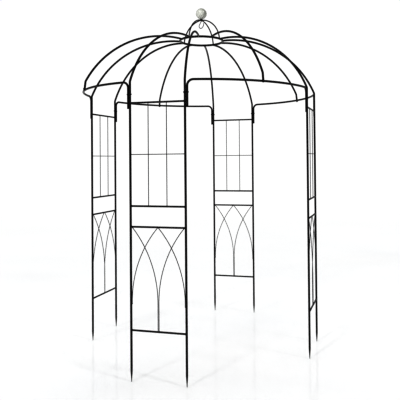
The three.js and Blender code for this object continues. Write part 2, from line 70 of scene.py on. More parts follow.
# Plug joints between tubes
SPIGOT_RADIUS = 5 * MM
SOCKET_RADIUS = 5.8 * MM
POST_SPIGOT_LENGTH = 50 * MM
RIB_SPIGOT_LENGTH = 40 * MM
SOCKET_SPARE_DEPTH = 2 * MM

TRACERY_SPRING_HEIGHT = 0.582
TRACERY_LAYER = 2.3 * MM
ARCH_MIDDLE_RADIUS = 1.0215
ARCH_CORNER_RADIUS = 45 * MM
MID_RIB_FOOT_RADIUS = 1.04
MID_RIB_FOOT_DROP = 12 * MM
MID_RIB_KINK_RADIUS = 1.031
POST_RIB_END_TILT = 5  # degrees below level where a rib meets the ring
MID_RIB_END_TILT = 7.8
RIB_BEND_REACH = 5 * MM  # either side of a rib's kink, rounded by the bending tool

RING_RADIUS = 0.19
RING_TUBE_RADIUS = 9 * MM
RING_PEG_LENGTH = 28 * MM
CROWN_LEG_RADIUS = 5 * MM
CROWN_LEG_TURN = 30  # degrees round from a doorway's middle
CROWN_LEG_BEND_RADIUS = 0.204
HUB_RADIUS = 13 * MM
HUB_FOOT_HEIGHT = 2.86
HUB_TOP_HEIGHT = 2.868
BALL_RADIUS = 48 * MM
BALL_HEIGHT = 2.9205
COLLAR_RADIUS = 11 * MM
COLLAR_TOP_RADIUS = 8.6 * MM
COLLAR_TOP_HEIGHT = 2.873
COLLAR_SPIGOT_RADIUS = 5.5 * MM
COLLAR_SPIGOT_LENGTH = 11 * MM
PAINTED_LIGHT_DIRECTION = (-0.78, -0.55, -0.3)  # the side of the ball painted lighter, as if lit from there; the opposite side is painted in shade
HOOK_WIRE_RADIUS = 3 * MM
HOOK_SHANK_RADIUS = 3.5 * MM
HOOK_HEAD_RADIUS = 6.5 * MM
HOOK_HEAD_HEIGHT = 2 * MM
HOOK_TURN = -25  # degrees about the vertical, as it hangs

# M6 bolts and nuts
BOLT_RADIUS = 3 * MM
THREAD_DEPTH = 0.5 * MM
THREAD_PITCH = 1 * MM
BOLT_HEAD_RADIUS = 5.5 * MM
BOLT_HEAD_HEIGHT = 2.6 * MM
SOCKET_FLATS = 4 * MM  # across the hexagon of the head's socket
BOLT_SOCKET_DEPTH = 1.7 * MM
NUT_RADIUS = 5.8 * MM
NUT_HEIGHT = 3.2 * MM
BOLT_TAIL = 0.5 * MM

# Weld beads and edges
BAR_BEAD = 1.9 * MM
ROD_BEAD = 1.15 * MM
RIPPLE = 2.6 * MM  # length of one scallop of a weld bead
EDGE = 0.5 * MM  # rounding of cut tube ends

# Facets
TUBE_SIDES = 24
ROD_SIDES = 14
BEAD_SIDES = 8
TURNED_SIDES = 48

panel_half = PANEL_WIDTH / 2
panel_offset = math.sqrt(FRAME_RADIUS**2 - panel_half**2)
post_turn = math.asin(panel_half / FRAME_RADIUS)
tube_spacing = 2 * TUBE_RADIUS + GAP
leg_turn = math.radians(45) - post_turn - tube_spacing / FRAME_RADIUS
leg_x = FRAME_RADIUS * math.sin(leg_turn)
leg_y = FRAME_RADIUS * math.cos(leg_turn)
mid_rib_slope = (MID_RIB_KINK_RADIUS - MID_RIB_FOOT_RADIUS) / (
    MID_RIB_KINK_HEIGHT - ARCH_HEIGHT + MID_RIB_FOOT_DROP
)
mid_rib_bolt_radius = MID_RIB_FOOT_RADIUS + mid_rib_slope * MID_RIB_FOOT_DROP

X_AXIS = Vector((1, 0, 0))
Y_AXIS = Vector((0, 1, 0))
Z_AXIS = Vector((0, 0, 1))
luck = random.Random(11)

# ---- Shapes -----------------------------------------------------------------------------


def frames_along(path, closed=False):
    """Two side directions and the tangent at each station, carried along without twist."""
    count = len(path)
    tangents = []
    for i in range(count):
        before = path[i - 1] if closed or i > 0 else path[i]
        after = path[(i + 1) % count] if closed or i < count - 1 else path[i]
        tangents.append((after - before).normalized())
    side = tangents[0].orthogonal().normalized()
    sides = []
    for tangent in tangents:
        side = (side - tangent * side.dot(tangent)).normalized()
        sides.append(side)
    if closed:
        last = (side - tangents[0] * side.dot(tangents[0])).normalized()
        twist = math.atan2(sides[0].cross(last).dot(tangents[0]), sides[0].dot(last))
        for i in range(count):
            sides[i] = Matrix.Rotation(-twist * i / count, 3, tangents[i]) @ sides[i]
    return [(s, t.cross(s), t) for s, t in zip(sides, tangents)]


def circle(centre, across, up, radius, sides):
    points = []
    for i in range(sides):
        angle = 2 * math.pi * i / sides
        points.append(centre + across * (radius * math.cos(angle)) + up * (radius * math.sin(angle)))
    return points


def cut_end(radius, edge=EDGE):
    """Profile of a solid bar's end: (distance in from the end, radius), from the side inwards."""
    steps = 3
    rounded = []
    for i in range(steps + 1):
        angle = math.pi / 2 * i / steps
        rounded.append((edge * (1 - math.sin(angle)), radius - edge * (1 - math.cos(angle))))
    return rounded + [(0, 0)]


def domed_end(radius):
    steps = 6
    angles = [math.pi / 2 * i / steps for i in range(steps)]
    return [(radius * (1 - math.sin(a)), radius * math.cos(a)) for a in angles] + [(0, 0)]


def open_end(radius, bore, depth):
    """Profile of an open tube end, down its bore to a closed bottom."""
    edge = min(EDGE, (radius - bore) / 3)
    lip = cut_end(radius, edge)[:-1]
    return lip + [(0, bore + edge / 2), (edge / 2, bore), (depth, bore), (depth, 0)]


class Shape:
    """Closed surfaces gathered into one mesh."""

    def __init__(self):
        self.points = []
        self.faces = []

    def skin(self, rings, closed=False):
        """Faces between neighbouring rings of equally many points; a lone point closes an end."""
        starts = []
        for ring in rings:
            starts.append((len(self.points), len(ring)))
            self.points.extend(ring)
        pairs = list(zip(starts, starts[1:]))
        if closed:
            pairs.append((starts[-1], starts[0]))
        for (first, first_count), (second, second_count) in pairs:
            count = max(first_count, second_count)
            for i in range(count):
                j = (i + 1) % count
                lower = [first + i, first + j] if first_count > 1 else [first]
                upper = [second + j, second + i] if second_count > 1 else [second]
                self.faces.append(lower + upper)
        return self

    def bar(self, path, radius, start=None, end=None, sides=TUBE_SIDES):
        """Round bar along a path, with an end profile at each end."""
        frames = frames_along(path)
        start = start or cut_end(radius)
        end = end or cut_end(radius)
        rings = []
        across, up, tangent = frames[0]
        for back, size in reversed(start):
            centre = path[0] + tangent * back
            rings.append(circle(centre, across, up, size, sides) if size else [centre])
        for station, (across, up, tangent) in list(zip(path, frames))[1:-1]:
            rings.append(circle(station, across, up, radius, sides))
        across, up, tangent = frames[-1]
        for back, size in end:
            centre = path[-1] - tangent * back
            rings.append(circle(centre, across, up, size, sides) if size else [centre])
        return self.skin(rings)

    def loop(self, path, radii, sides=TUBE_SIDES):
        """Round bar along a closed path."""
        rings = []
        for station, (across, up, _), radius in zip(path, frames_along(path, True), radii):
            rings.append(circle(station, across, up, radius, sides))
        return self.skin(rings, closed=True)

    def turned(self, profile, foot=Vector(), axis=Z_AXIS, sides=TURNED_SIDES):
        """Solid of revolution; the profile is (radius, height) from one end of the axis to the other."""
        across = axis.orthogonal().normalized()
        up = axis.cross(across)
        rings = []
        for radius, height in profile:
            centre = foot + axis * height
            rings.append(circle(centre, across, up, radius, sides) if radius else [centre])
        return self.skin(rings)

    def bead(self, path, size):
        """Weld bead along a closed path, a row of small scallops of slightly uneven size."""
        length = sum((a - b).length for a, b in zip(path, path[1:] + path[:1]))
        scallops = max(4, round(length / RIPPLE))
        uneven = [luck.uniform(0.9, 1.1) for _ in range(scallops)]
        radii = []
        for i in range(len(path)):
            place = scallops * i / len(path)
            swell = abs(math.sin(math.pi * place))
            radii.append(size * uneven[int(place)] * (0.84 + 0.16 * swell))
        return self.loop(path, radii, BEAD_SIDES)

    def tack(self, centre, axis, length, size):
        """Short blob of weld with its long side along the axis."""
        steps = 8
        across = axis.orthogonal().normalized()
        up = axis.cross(across)
        rings = []
        for i in range(steps + 1):
            angle = math.pi * i / steps
            place = centre - axis * (length / 2 * math.cos(angle))
            radius = size * math.sin(angle) * luck.uniform(0.92, 1.06)
            rings.append([place] if i in (0, steps) else circle(place, across, up, radius, 10))
        return self.skin(rings)

    def weld(self, centre, along, radius, start, towards, branch_radius, size):
        """Bead where a branch bar meets the side of a bar through the centre."""
        count = 48
        towards = towards.normalized()
        across = towards.orthogonal().normalized()
        up = towards.cross(across)
        path = []
        for origin in circle(start, across, up, branch_radius, count):
            offset = (origin - centre) - along * (origin - centre).dot(along)
            heading = towards - along * towards.dot(along)
            a = heading.length_squared
            b = offset.dot(heading)
            c = offset.length_squared - radius**2
            root = max(b * b - a * c, 0)
            path.append(origin + towards * ((-b - math.sqrt(root)) / a))
        return self.bead(path, size)


def show(node, shape, material, body="frame", matrix=Matrix.Identity(4), crease=32):
    """Turns a shape into the piece that stands for a CAD node."""
    mesh = bpy.data.meshes.new(f"{node}.look")
    mesh.from_pydata([matrix @ point for point in shape.points], [], shape.faces)
    work = bmesh.new()
    work.from_mesh(mesh)
    bmesh.ops.recalc_face_normals(work, faces=work.faces)
    work.to_mesh(mesh)
    work.free()
    mesh.shade_smooth()
    mesh.set_sharp_from_angle(angle=math.radians(crease))
    mesh.materials.append(material)
    piece = bpy.data.objects.new(f"{node}.look", mesh)
    bpy.context.collection.objects.link(piece)
    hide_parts(node)
    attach(piece, body)
    return piece


# ---- Paths ------------------------------------------------------------------------------


def spline(points, steps):
    """Centripetal Catmull-Rom curve through the points, its ends mirrored outwards."""
    whole = [2 * points[0] - points[1], *points, 2 * points[-1] - points[-2]]
    path = []
    for i in range(len(points) - 1):
        four = whole[i:i + 4]
        knots = [0.0]
        for a, b in zip(four, four[1:]):
            knots.append(knots[-1] + math.sqrt((b - a).length))
        for step in range(steps):
            t = knots[1] + (knots[2] - knots[1]) * step / steps

            def between(a, b, first, last, t=t, knots=knots):
                return a.lerp(b, (t - knots[first]) / (knots[last] - knots[first]))

            singles = [between(four[k], four[k + 1], k, k + 1) for k in range(3)]
            pairs = [between(singles[k], singles[k + 1], k, k + 2) for k in range(2)]
            path.append(between(pairs[0], pairs[1], 1, 2))
    path.append(points[-1])
    return path


def arc_points(centre, radius, first, last, steps):
    """Points of an arc in a plane, as (across, up) pairs."""
    points = []
    for i in range(steps + 1):
        angle = first + (last - first) * i / steps
        points.append((centre[0] + radius * math.cos(angle), centre[1] + radius * math.sin(angle)))
    return points


def rib_path(start, kink, end_tilt):
    """Rib in the plane x = 0, towards -Y: straight to the kink, then one arc to the ring."""
    tilt = math.radians(end_tilt)
    reach = RING_TUBE_RADIUS + 2 * GAP
    end = Vector((RING_RADIUS + reach * math.cos(tilt), RING_HEIGHT + reach * math.sin(tilt)))
    inward = Vector((math.sin(tilt), -math.cos(tilt)))
    chord = Vector(kink) - end
    radius = chord.length_squared / (2 * chord.dot(inward))
    centre = end + inward * radius
    kink_angle = math.atan2(kink[1] - centre.y, kink[0] - centre.x)
    end_angle = math.atan2(end.y - centre.y, end.x - centre.x)
    bend_steps = 7
    arc_steps = 60
    arc_start = kink_angle + RIB_BEND_REACH / radius
    after = centre + radius * Vector((math.cos(arc_start), math.sin(arc_start)))
    before = Vector(kink) + (Vector(start) - Vector(kink)).normalized() * RIB_BEND_REACH
    stations = [Vector(start)]
    for i in range(bend_steps):
        t = i / bend_steps
        stations.append(before * (1 - t) ** 2 + Vector(kink) * (2 * t * (1 - t)) + after * t**2)
    arc = arc_points(centre, radius, arc_start, end_angle, arc_steps)
    stations.extend(Vector(point) for point in arc)
    return [Vector((0, -s.x, s.y)) for s in stations]


def arch_path():
    """Level run, corners and legs on an upright cylinder through both legs and the middle."""
    sagitta = ARCH_MIDDLE_RADIUS - leg_y
    plan_radius = (leg_x**2 + sagitta**2) / (2 * sagitta)
    half_run = plan_radius * math.asin(leg_x / plan_radius)
    level_steps = 24
    corner_steps = 14
    level_run = half_run - ARCH_CORNER_RADIUS
    half = [(level_run * i / level_steps, ARCH_HEIGHT) for i in range(1, level_steps + 1)]
    corner = (level_run, ARCH_HEIGHT - ARCH_CORNER_RADIUS)
    half.extend(arc_points(corner, ARCH_CORNER_RADIUS, math.pi / 2, 0, corner_steps)[1:])
    half.append((half_run, ARCH_LEG_HEIGHT))
    runs = [(-run, height) for run, height in reversed(half)] + [(0, ARCH_HEIGHT)] + half
    path = []
    for run, height in runs:
        angle = run / plan_radius
        path.append(Vector((
            plan_radius * math.sin(angle),
            plan_radius - ARCH_MIDDLE_RADIUS - plan_radius * math.cos(angle),
            height,
        )))
    return path


def crown_leg_path(quarter):
    foot = Vector((RING_RADIUS, RING_HEIGHT + CROWN_LEG_RADIUS))
    top = Vector((HUB_RADIUS / 2, HUB_TOP_HEIGHT - CROWN_LEG_RADIUS - GAP))
    chord = top - foot
    depth = math.sqrt(CROWN_LEG_BEND_RADIUS**2 - chord.length_squared / 4)
    inward = -Vector((chord.y, -chord.x)).normalized()
    centre = (foot + top) / 2 + inward * depth
    first = math.atan2(foot.y - centre.y, foot.x - centre.x)
    last = math.atan2(top.y - centre.y, top.x - centre.x)
    turn = Matrix.Rotation(math.radians(CROWN_LEG_TURN + 90 * quarter), 3, "Z")
    arc = arc_points(centre, CROWN_LEG_BEND_RADIUS, first, last, 40)
    return [turn @ Vector((0, -x, z)) for x, z in arc]


# ---- Trellis panels: built facing -Y, in the plane y = -panel_offset --------------------


def panel_point(x, z, behind=0.0):
    return Vector((x, behind - panel_offset, z))


def cross_bar(panel, height):
    """Level bar between the posts, welded to them."""
    inset = panel_half - TUBE_RADIUS / 2
    panel.bar([panel_point(-inset, height), panel_point(inset, height)], BAR_RADIUS)
    for side in (-1, 1):
        post = panel_point(side * panel_half, height)
        start = panel_point(0, height)
        panel.weld(post, Z_AXIS, TUBE_RADIUS, start, side * X_AXIS, BAR_RADIUS, BAR_BEAD)


def tracery_rod(side, straight_x, top_x, foot):
    """Path of a rod that rises straight, then bends along an arc to the tracery bar."""
    rise = TRACERY_BAR_HEIGHT - TRACERY_SPRING_HEIGHT
    run = abs(top_x - straight_x)
    radius = (run**2 + rise**2) / (2 * run)
    sweep = math.asin(rise / radius)
    towards = math.copysign(1, top_x - straight_x)
    behind = side * towards * TRACERY_LAYER
    path = [panel_point(side * straight_x, foot, behind)]
    steps = 32
    for i in range(steps + 1):
        angle = sweep * i / steps
        x = straight_x + towards * radius * (1 - math.cos(angle))
        height = TRACERY_SPRING_HEIGHT + radius * math.sin(angle)
        path.append(panel_point(side * x, height, behind))
    return path


def crossing(first, second):
    """Middle of the two stations, one of each path, that lie closest together."""
    pairs = [(a, b) for a in first for b in second]
    a, b = min(pairs, key=lambda pair: (pair[0] - pair[1]).length)
    return (a + b) / 2


def lower_panel():
    panel = Shape()
    tip = [(0, 0), (SPIKE_TIP_RADIUS * 0.7, 0), (SPIKE_TIP_RADIUS, 0.5 * MM)]
    shoulder = [
        (TUBE_RADIUS - 1.2 * MM, SPIKE_LENGTH - 16 * MM),
        (TUBE_RADIUS - 0.5 * MM, SPIKE_LENGTH - 7 * MM),
        (TUBE_RADIUS - 0.12 * MM, SPIKE_LENGTH - 1 * MM),
        (TUBE_RADIUS, SPIKE_LENGTH + 5 * MM),
    ]
    spigot_top = POST_JOINT_HEIGHT + POST_SPIGOT_LENGTH
    spigot = [
        (TUBE_RADIUS, POST_JOINT_HEIGHT - EDGE),
        (TUBE_RADIUS - EDGE, POST_JOINT_HEIGHT),
        (SPIGOT_RADIUS, POST_JOINT_HEIGHT),
        (SPIGOT_RADIUS, spigot_top - 2 * EDGE),
        (SPIGOT_RADIUS - EDGE, spigot_top),
        (0, spigot_top),
    ]
    for side in (-1, 1):
        panel.turned(tip + shoulder + spigot, panel_point(side * panel_half, 0), sides=TUBE_SIDES)
    for height in (FOOT_BAR_HEIGHT, TRACERY_BAR_HEIGHT):
        cross_bar(panel, height)

    beside_post = panel_half - TUBE_RADIUS
    beside_middle = ROD_RADIUS + 0.2 * MM
    straight_beside_post = 20 * MM
    tracery_bar = panel_point(0, TRACERY_BAR_HEIGHT)
    foot_bar = panel_point(0, FOOT_BAR_HEIGHT)
    for side in (-1, 1):
        outer_foot = TRACERY_SPRING_HEIGHT - straight_beside_post
        outer = tracery_rod(side, beside_post, 0, outer_foot)
        inner = tracery_rod(side, beside_middle, beside_post - ROD_RADIUS, FOOT_BAR_HEIGHT)
        panel.bar(outer, ROD_RADIUS, start=domed_end(ROD_RADIUS), sides=ROD_SIDES)
        panel.bar(inner, ROD_RADIUS, sides=ROD_SIDES)
        for rod in (outer, inner):
            heading = rod[-1] - rod[-2]
            below = rod[-1] - heading.normalized() * 4 * BAR_RADIUS
            panel.weld(tracery_bar, X_AXIS, BAR_RADIUS, below, heading, ROD_RADIUS, ROD_BEAD)
        above = inner[0] + Z_AXIS * 4 * BAR_RADIUS
        panel.weld(foot_bar, X_AXIS, BAR_RADIUS, above, -Z_AXIS, ROD_RADIUS, ROD_BEAD)
        panel.tack(outer[0] + Z_AXIS * 5 * MM, Z_AXIS, 14 * MM, 3.3 * MM)
        panel.tack(crossing(outer, inner), Z_AXIS, 7 * MM, 2.6 * MM)
    return panel


def upper_panel():
    panel = Shape()
    foot_bore = POST_SPIGOT_LENGTH + SOCKET_SPARE_DEPTH
    top_bore = RIB_SPIGOT_LENGTH + SOCKET_SPARE_DEPTH
    foot = POST_JOINT_HEIGHT + GAP
    for side in (-1, 1):
        panel.bar(
            [panel_point(side * panel_half, foot), panel_point(side * panel_half, RIB_JOINT_HEIGHT)],
            TUBE_RADIUS,
            start=open_end(TUBE_RADIUS, SOCKET_RADIUS, foot_bore),
            end=open_end(TUBE_RADIUS, SOCKET_RADIUS, top_bore),
        )
    for height in (GRILLE_FOOT_HEIGHT, GRILLE_TOP_HEIGHT):
        cross_bar(panel, height)
    behind = 2 * ROD_RADIUS - 0.4 * MM
    inset = panel_half - TUBE_RADIUS / 2
    middle_rod = [panel_point(x, GRILLE_MIDDLE_HEIGHT, behind) for x in (-inset, inset)]
    panel.bar(middle_rod, ROD_RADIUS, sides=ROD_SIDES)
    for side in (-1, 1):
        post = panel_point(side * panel_half, GRILLE_MIDDLE_HEIGHT)
        start = panel_point(0, GRILLE_MIDDLE_HEIGHT, behind)
        panel.weld(post, Z_AXIS, TUBE_RADIUS, start, side * X_AXIS, ROD_RADIUS, ROD_BEAD)
        x = side * PANEL_WIDTH / 6
        upright = [panel_point(x, z) for z in (GRILLE_FOOT_HEIGHT, GRILLE_TOP_HEIGHT)]
        panel.bar(upright, ROD_RADIUS, sides=ROD_SIDES)
        halfway = panel_point(x, GRILLE_MIDDLE_HEIGHT)
        for height, way in ((GRILLE_FOOT_HEIGHT, -1), (GRILLE_TOP_HEIGHT, 1)):
            bar_centre = panel_point(x, height)
            panel.weld(bar_centre, X_AXIS, BAR_RADIUS, halfway, way * Z_AXIS, ROD_RADIUS, ROD_BEAD)
        panel.tack(panel_point(x, GRILLE_MIDDLE_HEIGHT, behind / 2), X_AXIS, 6 * MM, 2.7 * MM)
    return panel


# ---- Arches and ribs --------------------------------------------------------------------


def arch():
    tube_end = open_end(TUBE_RADIUS, TUBE_RADIUS - TUBE_WALL, 30 * MM)
    return Shape().bar(arch_path(), TUBE_RADIUS, start=tube_end, end=tube_end)


def ring_end():
    return open_end(TUBE_RADIUS, SOCKET_RADIUS, RING_PEG_LENGTH + SOCKET_SPARE_DEPTH)


def post_rib():
    foot = RIB_JOINT_HEIGHT + GAP
    path = rib_path((FRAME_RADIUS, foot), (FRAME_RADIUS, POST_RIB_KINK_HEIGHT), POST_RIB_END_TILT)
    rib = Shape().bar(path, TUBE_RADIUS, end=ring_end())
    spigot = [
        (0, -RIB_SPIGOT_LENGTH),
        (SPIGOT_RADIUS - EDGE, -RIB_SPIGOT_LENGTH),
        (SPIGOT_RADIUS, EDGE * 2 - RIB_SPIGOT_LENGTH),
        (SPIGOT_RADIUS, TUBE_RADIUS / 2),
        (0, TUBE_RADIUS / 2),
    ]
    return rib.turned(spigot, Vector((0, -FRAME_RADIUS, foot)), sides=TUBE_SIDES)


def mid_rib():
    path = rib_path(
        (MID_RIB_FOOT_RADIUS, ARCH_HEIGHT - MID_RIB_FOOT_DROP),
        (MID_RIB_KINK_RADIUS, MID_RIB_KINK_HEIGHT),
        MID_RIB_END_TILT,
    )
    foot_end = open_end(TUBE_RADIUS, TUBE_RADIUS - TUBE_WALL, 8 * MM)
    return Shape().bar(path, TUBE_RADIUS, start=foot_end, end=ring_end())


# ---- Crown ------------------------------------------------------------------------------


def crown_ring():
    stations = 144
    path = circle(Vector((0, 0, RING_HEIGHT)), X_AXIS, Y_AXIS, RING_RADIUS, stations)
    ring = Shape().loop(path, [RING_TUBE_RADIUS] * stations)
    for doorway in (0, 90, 180, 270):
        places = [(math.radians(doorway), MID_RIB_END_TILT)]
        for side in (-1, 1):
            places.append((math.radians(doorway + 45) + side * post_turn, POST_RIB_END_TILT))
        for turn, end_tilt in places:
            tilt = math.radians(end_tilt)
            outward = Matrix.Rotation(turn, 3, "Z") @ Vector((0, -math.cos(tilt), math.sin(tilt)))
            base = outward.copy()
            base.z = 0
            base = base.normalized() * RING_RADIUS + Z_AXIS * RING_HEIGHT
            length = RING_TUBE_RADIUS + RING_PEG_LENGTH
            ring.bar([base, base + outward * length], SPIGOT_RADIUS)
    return ring


def crown():
    bore = HOOK_SHANK_RADIUS + 2 * GAP
    thickness = HUB_TOP_HEIGHT - HUB_FOOT_HEIGHT
    rim = 1.6 * MM
    profile = [
        (bore + EDGE, 0),
        (HUB_RADIUS - rim, 0),
        (HUB_RADIUS - 0.3 * rim, 0.3 * rim),
        (HUB_RADIUS, rim),
        (HUB_RADIUS, thickness - rim),
        (HUB_RADIUS - 0.3 * rim, thickness - 0.3 * rim),
        (HUB_RADIUS - rim, thickness),
        (bore + EDGE, thickness),
        (bore, thickness - EDGE),
        (bore, EDGE),
    ]
    foot = Vector((0, 0, HUB_FOOT_HEIGHT))
    rings = [circle(foot + Z_AXIS * z, X_AXIS, Y_AXIS, r, TURNED_SIDES) for r, z in profile]
    top = Shape().skin(rings, closed=True)
    for quarter in range(4):
        path = crown_leg_path(quarter)
        inner = [p for p in path if math.hypot(p.x, p.y) > bore + CROWN_LEG_RADIUS / 2]
        top.bar(inner, CROWN_LEG_RADIUS, sides=20)
        outward = Vector((path[0].x, path[0].y, 0)).normalized()
        tangent = Z_AXIS.cross(outward)
        ring_centre = outward * RING_RADIUS + Z_AXIS * RING_HEIGHT
        away = path[0] - path[1]
        start = path[0] - away.normalized() * 4 * RING_TUBE_RADIUS
        top.weld(ring_centre, tangent, RING_TUBE_RADIUS, start, away, CROWN_LEG_RADIUS, 1.5 * MM)
        near_hub = [p for p in path if math.hypot(p.x, p.y) > HUB_RADIUS]
        heading = near_hub[-1] - near_hub[-2]
        start = near_hub[-1] - heading.normalized() * HUB_RADIUS
        top.weld(foot, Z_AXIS, HUB_RADIUS, start, heading, CROWN_LEG_RADIUS, 1.3 * MM)
    return top


def finial_collar():
    foot = GAP
    cup_top = HOOK_HEAD_HEIGHT + 4 * GAP
    cup_radius = HOOK_HEAD_RADIUS + 1.2 * MM
    top = COLLAR_TOP_HEIGHT - HUB_TOP_HEIGHT
    spigot_top = top + COLLAR_SPIGOT_LENGTH
    groove = 0.5 * MM
    profile = [
        (0, cup_top),
        (cup_radius, cup_top),
        (cup_radius, foot + EDGE),
        (cup_radius + EDGE, foot),
        (COLLAR_RADIUS - EDGE, foot),
        (COLLAR_RADIUS, foot + EDGE),
        (COLLAR_RADIUS, foot + 2 * MM),
        (COLLAR_RADIUS - EDGE, foot + 2.4 * MM),
        (COLLAR_RADIUS - EDGE - groove, foot + 2.5 * MM),
        (COLLAR_RADIUS - EDGE - groove, foot + 3 * MM),
        (COLLAR_RADIUS - 1.5 * MM, foot + 3.2 * MM),
        (COLLAR_TOP_RADIUS + 0.2 * MM, top - 0.8 * MM),
        (COLLAR_TOP_RADIUS, top - 0.4 * MM),
        (COLLAR_TOP_RADIUS - 0.4 * MM, top),
        (COLLAR_SPIGOT_RADIUS, top),
        (COLLAR_SPIGOT_RADIUS, spigot_top - EDGE),
        (COLLAR_SPIGOT_RADIUS - EDGE, spigot_top),
        (0, spigot_top),
    ]
    return Shape().turned(profile, Vector((0, 0, HUB_TOP_HEIGHT)))


def finial_ball():
    """Blown glass ball, open at the neck, with the slight unevenness of hand work."""
    socket_radius = COLLAR_SPIGOT_RADIUS + 0.8 * MM
    socket_top = COLLAR_TOP_HEIGHT + COLLAR_SPIGOT_LENGTH + 1 * MM
    flat_height = COLLAR_TOP_HEIGHT + GAP
    flat_angle = math.acos((flat_height - BALL_HEIGHT) / BALL_RADIUS)
    slices = 72
    profile = [(0, socket_top), (socket_radius, socket_top), (socket_radius, flat_height)]
    for i in range(slices):
        angle = flat_angle * (1 - i / slices)
        profile.append((BALL_RADIUS * math.sin(angle), BALL_HEIGHT + BALL_RADIUS * math.cos(angle)))
    profile.append((0, BALL_HEIGHT + BALL_RADIUS))
    ball = Shape().turned(profile, sides=128)
    centre = Vector((0, 0, BALL_HEIGHT))
    for point in ball.points:
        outward = point - centre
        if outward.length > 0.98 * BALL_RADIUS and point.z > flat_height + EDGE:
            dent = 0.45 * MM * (noise.noise(outward * 55) - 0.6)
            dent += 0.12 * MM * noise.noise(outward * 190)
            point += outward.normalized() * dent
    return ball


def hook():
    below = HUB_FOOT_HEIGHT
    bend = [
        (0, -3), (-3, -11), (-11, -27), (-19.5, -45), (-19, -61),
        (-7.5, -72), (6, -65), (16, -49), (19.5, -35), (18, -22),
    ]
    points = [Vector((x * MM, 0, below + z * MM)) for x, z in bend]
    wire = spline(points, 8)
    shape = Shape().bar(wire, HOOK_WIRE_RADIUS, end=domed_end(HOOK_WIRE_RADIUS), sides=20)
    head_foot = HUB_TOP_HEIGHT + GAP
    head_top = head_foot + HOOK_HEAD_HEIGHT
    shank = [
        (0, below - 11 * MM),
        (HOOK_WIRE_RADIUS * 0.6, below - 10.6 * MM),
        (HOOK_WIRE_RADIUS + 0.1 * MM, below - 9 * MM),
        (HOOK_SHANK_RADIUS, below - 6 * MM),
        (HOOK_SHANK_RADIUS, head_foot),
        (HOOK_HEAD_RADIUS - EDGE, head_foot),
        (HOOK_HEAD_RADIUS, head_foot + EDGE),
        (HOOK_HEAD_RADIUS, head_top - 2 * EDGE),
        (HOOK_HEAD_RADIUS - 0.6 * EDGE, head_top - 0.6 * EDGE),
        (HOOK_HEAD_RADIUS - 2 * EDGE, head_top),
        (0, head_top),
    ]
    return shape.turned(shank, sides=32)


# ---- Bolts and nuts: axis along +X, from the head towards the nut -----------------------


def hexagon(flats, angle):
    """Radius of a hexagon, given across its flats, at an angle from a corner."""
    sixth = math.pi / 3
    return flats / 2 / math.cos(angle % sixth - sixth / 2)


def section(x, radius_at, sides=TURNED_SIDES):
    points = []
    for i in range(sides):
        angle = 2 * math.pi * i / sides
        radius = radius_at(angle)
        points.append(Vector((x, radius * math.cos(angle), radius * math.sin(angle))))
    return points


def bolt(span):
    """Domed head with a hexagon socket under x = 0, and a threaded shank past the nut."""
    shape = Shape()
    floor = BOLT_SOCKET_DEPTH - BOLT_HEAD_HEIGHT
    rings = [[Vector((floor, 0, 0))]]
    rings.append(section(floor, lambda a: hexagon(SOCKET_FLATS, a)))
    rings.append(section(-BOLT_HEAD_HEIGHT + 0.2 * MM, lambda a: hexagon(SOCKET_FLATS, a)))
    rings.append(section(-BOLT_HEAD_HEIGHT, lambda a: hexagon(SOCKET_FLATS, a) + 0.2 * MM))
    dome_steps = 7
    for i in range(dome_steps + 1):
        angle = math.pi / 2 * i / dome_steps
        radius = BOLT_RADIUS + (BOLT_HEAD_RADIUS - BOLT_RADIUS) * math.sin(angle)
        height = -0.3 * MM - (BOLT_HEAD_HEIGHT - 0.3 * MM) * math.cos(angle)
        rings.append(section(height, lambda a, r=radius: r))
    rings.append(section(0, lambda a: BOLT_HEAD_RADIUS - 0.3 * MM))
    rings.append(section(0, lambda a: BOLT_RADIUS))
    tail = span + NUT_HEIGHT + BOLT_TAIL
    thread_start = span - THREAD_PITCH
    turns_per_ring = 6
    count = round((tail - thread_start) / THREAD_PITCH * turns_per_ring)
    for i in range(count + 1):
        x = thread_start + (tail - 0.3 * MM - thread_start) * i / count
        fade = min(1, i / turns_per_ring)

        def groove(angle, x=x, fade=fade):
            phase = (x / THREAD_PITCH - angle / (2 * math.pi)) % 1
            return BOLT_RADIUS - THREAD_DEPTH * fade * (1 - abs(2 * phase - 1))

        rings.append(section(x, groove))
    rings.append(section(tail, lambda a: BOLT_RADIUS - 0.8 * MM))
    rings.append([Vector((tail, 0, 0))])
    return shape.skin(rings)


def nut():
    """Hexagon nut with corners turned off on both faces."""
    flats = NUT_RADIUS * math.sqrt(3)
    turned_radius = flats / 2 * 0.97
    bore = BOLT_RADIUS + 0.4 * MM
    slope = math.tan(math.radians(30))

    def corner(angle):
        return (hexagon(flats, angle) - turned_radius) * slope

    def at_corner(sign, base):
        points = []
        for i in range(TURNED_SIDES):
            angle = 2 * math.pi * i / TURNED_SIDES
            radius = hexagon(flats, angle)
            x = base + sign * corner(angle)
            points.append(Vector((x, radius * math.cos(angle), radius * math.sin(angle))))
        return points

    return Shape().skin([
        section(0, lambda a: bore + EDGE),
        section(0, lambda a: turned_radius),
        at_corner(1, 0),
        at_corner(-1, NUT_HEIGHT),
        section(NUT_HEIGHT, lambda a: turned_radius),
        section(NUT_HEIGHT, lambda a: bore + EDGE),
        section(NUT_HEIGHT - EDGE, lambda a: bore),
        section(EDGE, lambda a: bore),
    ], closed=True)


def leg_to_post(side):
    """Direction from an arch leg to the post beside it, for a doorway that faces -Y."""
    turn = leg_turn + tube_spacing / FRAME_RADIUS / 2
    return Vector((side * math.cos(turn), math.sin(turn), 0))


# ---- Materials --------------------------------------------------------------------------


